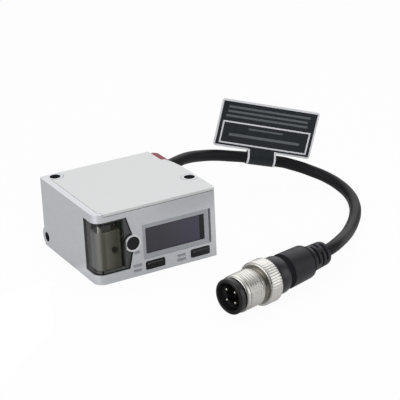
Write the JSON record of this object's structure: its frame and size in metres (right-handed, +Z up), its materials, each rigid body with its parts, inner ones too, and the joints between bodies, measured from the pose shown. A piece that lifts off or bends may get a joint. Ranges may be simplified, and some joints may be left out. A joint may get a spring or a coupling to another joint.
{
  "type": "laser photoelectric sensor",
  "caption": "Compact boxed laser distance sensor with a display, keys, a wrap-round corner indicator and a short pigtail cable that ends in a round screw-lock plug.",
  "frame": {"origin": "centre of the housing's outline on its flat base, where it stands", "axes": "+Z up out of the side cover, +X to the right along the display face, +Y from the display face to the optical face"},
  "size_m": [0.1078, 0.0978, 0.0349],
  "materials": {
    "cast": "fine matt silver-grey paint on a die casting",
    "cover": "matt pale silver-grey paint",
    "seal_rubber": "matt black rubber",
    "smoky_plastic": "clear smoky plastic, polished",
    "diffuser_plastic": "milky olive-grey plastic",
    "circuit_board": "green solder mask",
    "led_lens": "clear resin over a yellow phosphor",
    "display_glass": "dark tinted glass",
    "display_layer": "dark display, switched off",
    "switch_plastic": "pale moulded plastic",
    "button_plastic": "black moulded plastic",
    "chip_plastic": "black epoxy",
    "screw_steel": "zinc-plated steel",
    "diode_steel": "gold-washed steel can",
    "optics_plastic": "matt black moulded plastic",
    "lens_glass": "polished optical glass",
    "red_window": "deep red filter plastic, polished",
    "red_outlet": "dusky red moulded plastic",
    "cable_jacket": "black cable jacket, satin",
    "label_film": "dark slate printed film",
    "plug_plastic": "black moulded plastic, satin",
    "nickel_plate": "nickel-plated turned brass",
    "gold_plate": "gold-plated turned brass"
  },
  "bodies": {
    "sensor": {"housing": "cast", "side_cover": "cover", "display_bezel": "cover", "cover_seal": "seal_rubber", "window_seal": "seal_rubber", "indicator_cover": "smoky_plastic", "light_guide": "diffuser_plastic", "indicator_board": "circuit_board", "panel_board": "circuit_board", "main_board": "circuit_board", "receiver_board": "circuit_board", "indicator_leds": "led_lens", "display_glass": "display_glass", "display_panel": "display_layer", "key_switches": "switch_plastic", "main_chips": "chip_plastic", "receiver_chip": "chip_plastic", "board_screws": "screw_steel", "laser_diode": "diode_steel", "optical_block": "optics_plastic", "collimator_lens": "lens_glass", "receiver_lens": "lens_glass", "optical_window": "red_window", "cable_outlet": "red_outlet", "cable": "cable_jacket", "flag_label": "label_film", "plug_body": "plug_plastic", "pin_carrier": "plug_plastic", "contact_pins": "gold_plate"},
    "round_button_body": {"round_button": "button_plastic"},
    "left_key_body": {"left_key": "button_plastic"},
    "right_key_body": {"right_key": "button_plastic"},
    "nut_body": {"coupling_nut": "nickel_plate"}
  },
  "joints": [
    {"name": "round_button_press", "type": "slide", "parent": "sensor", "child": "round_button_body", "axis": [0, 1, 0], "range_m": [0, 0.0004], "stiffness_N_per_m": 200},
    {"name": "left_key_press", "type": "slide", "parent": "sensor", "child": "left_key_body", "axis": [0, 1, 0], "range_m": [0, 0.0004], "stiffness_N_per_m": 200},
    {"name": "right_key_press", "type": "slide", "parent": "sensor", "child": "right_key_body", "axis": [0, 1, 0], "range_m": [0, 0.0004], "stiffness_N_per_m": 200},
    {"name": "nut_turn", "type": "hinge", "parent": "sensor", "child": "nut_body", "pos_m": [0.00772, -0.0622, 0.0072], "axis": [0.9636, 0.2672, 0], "continuous": true}
  ]
}
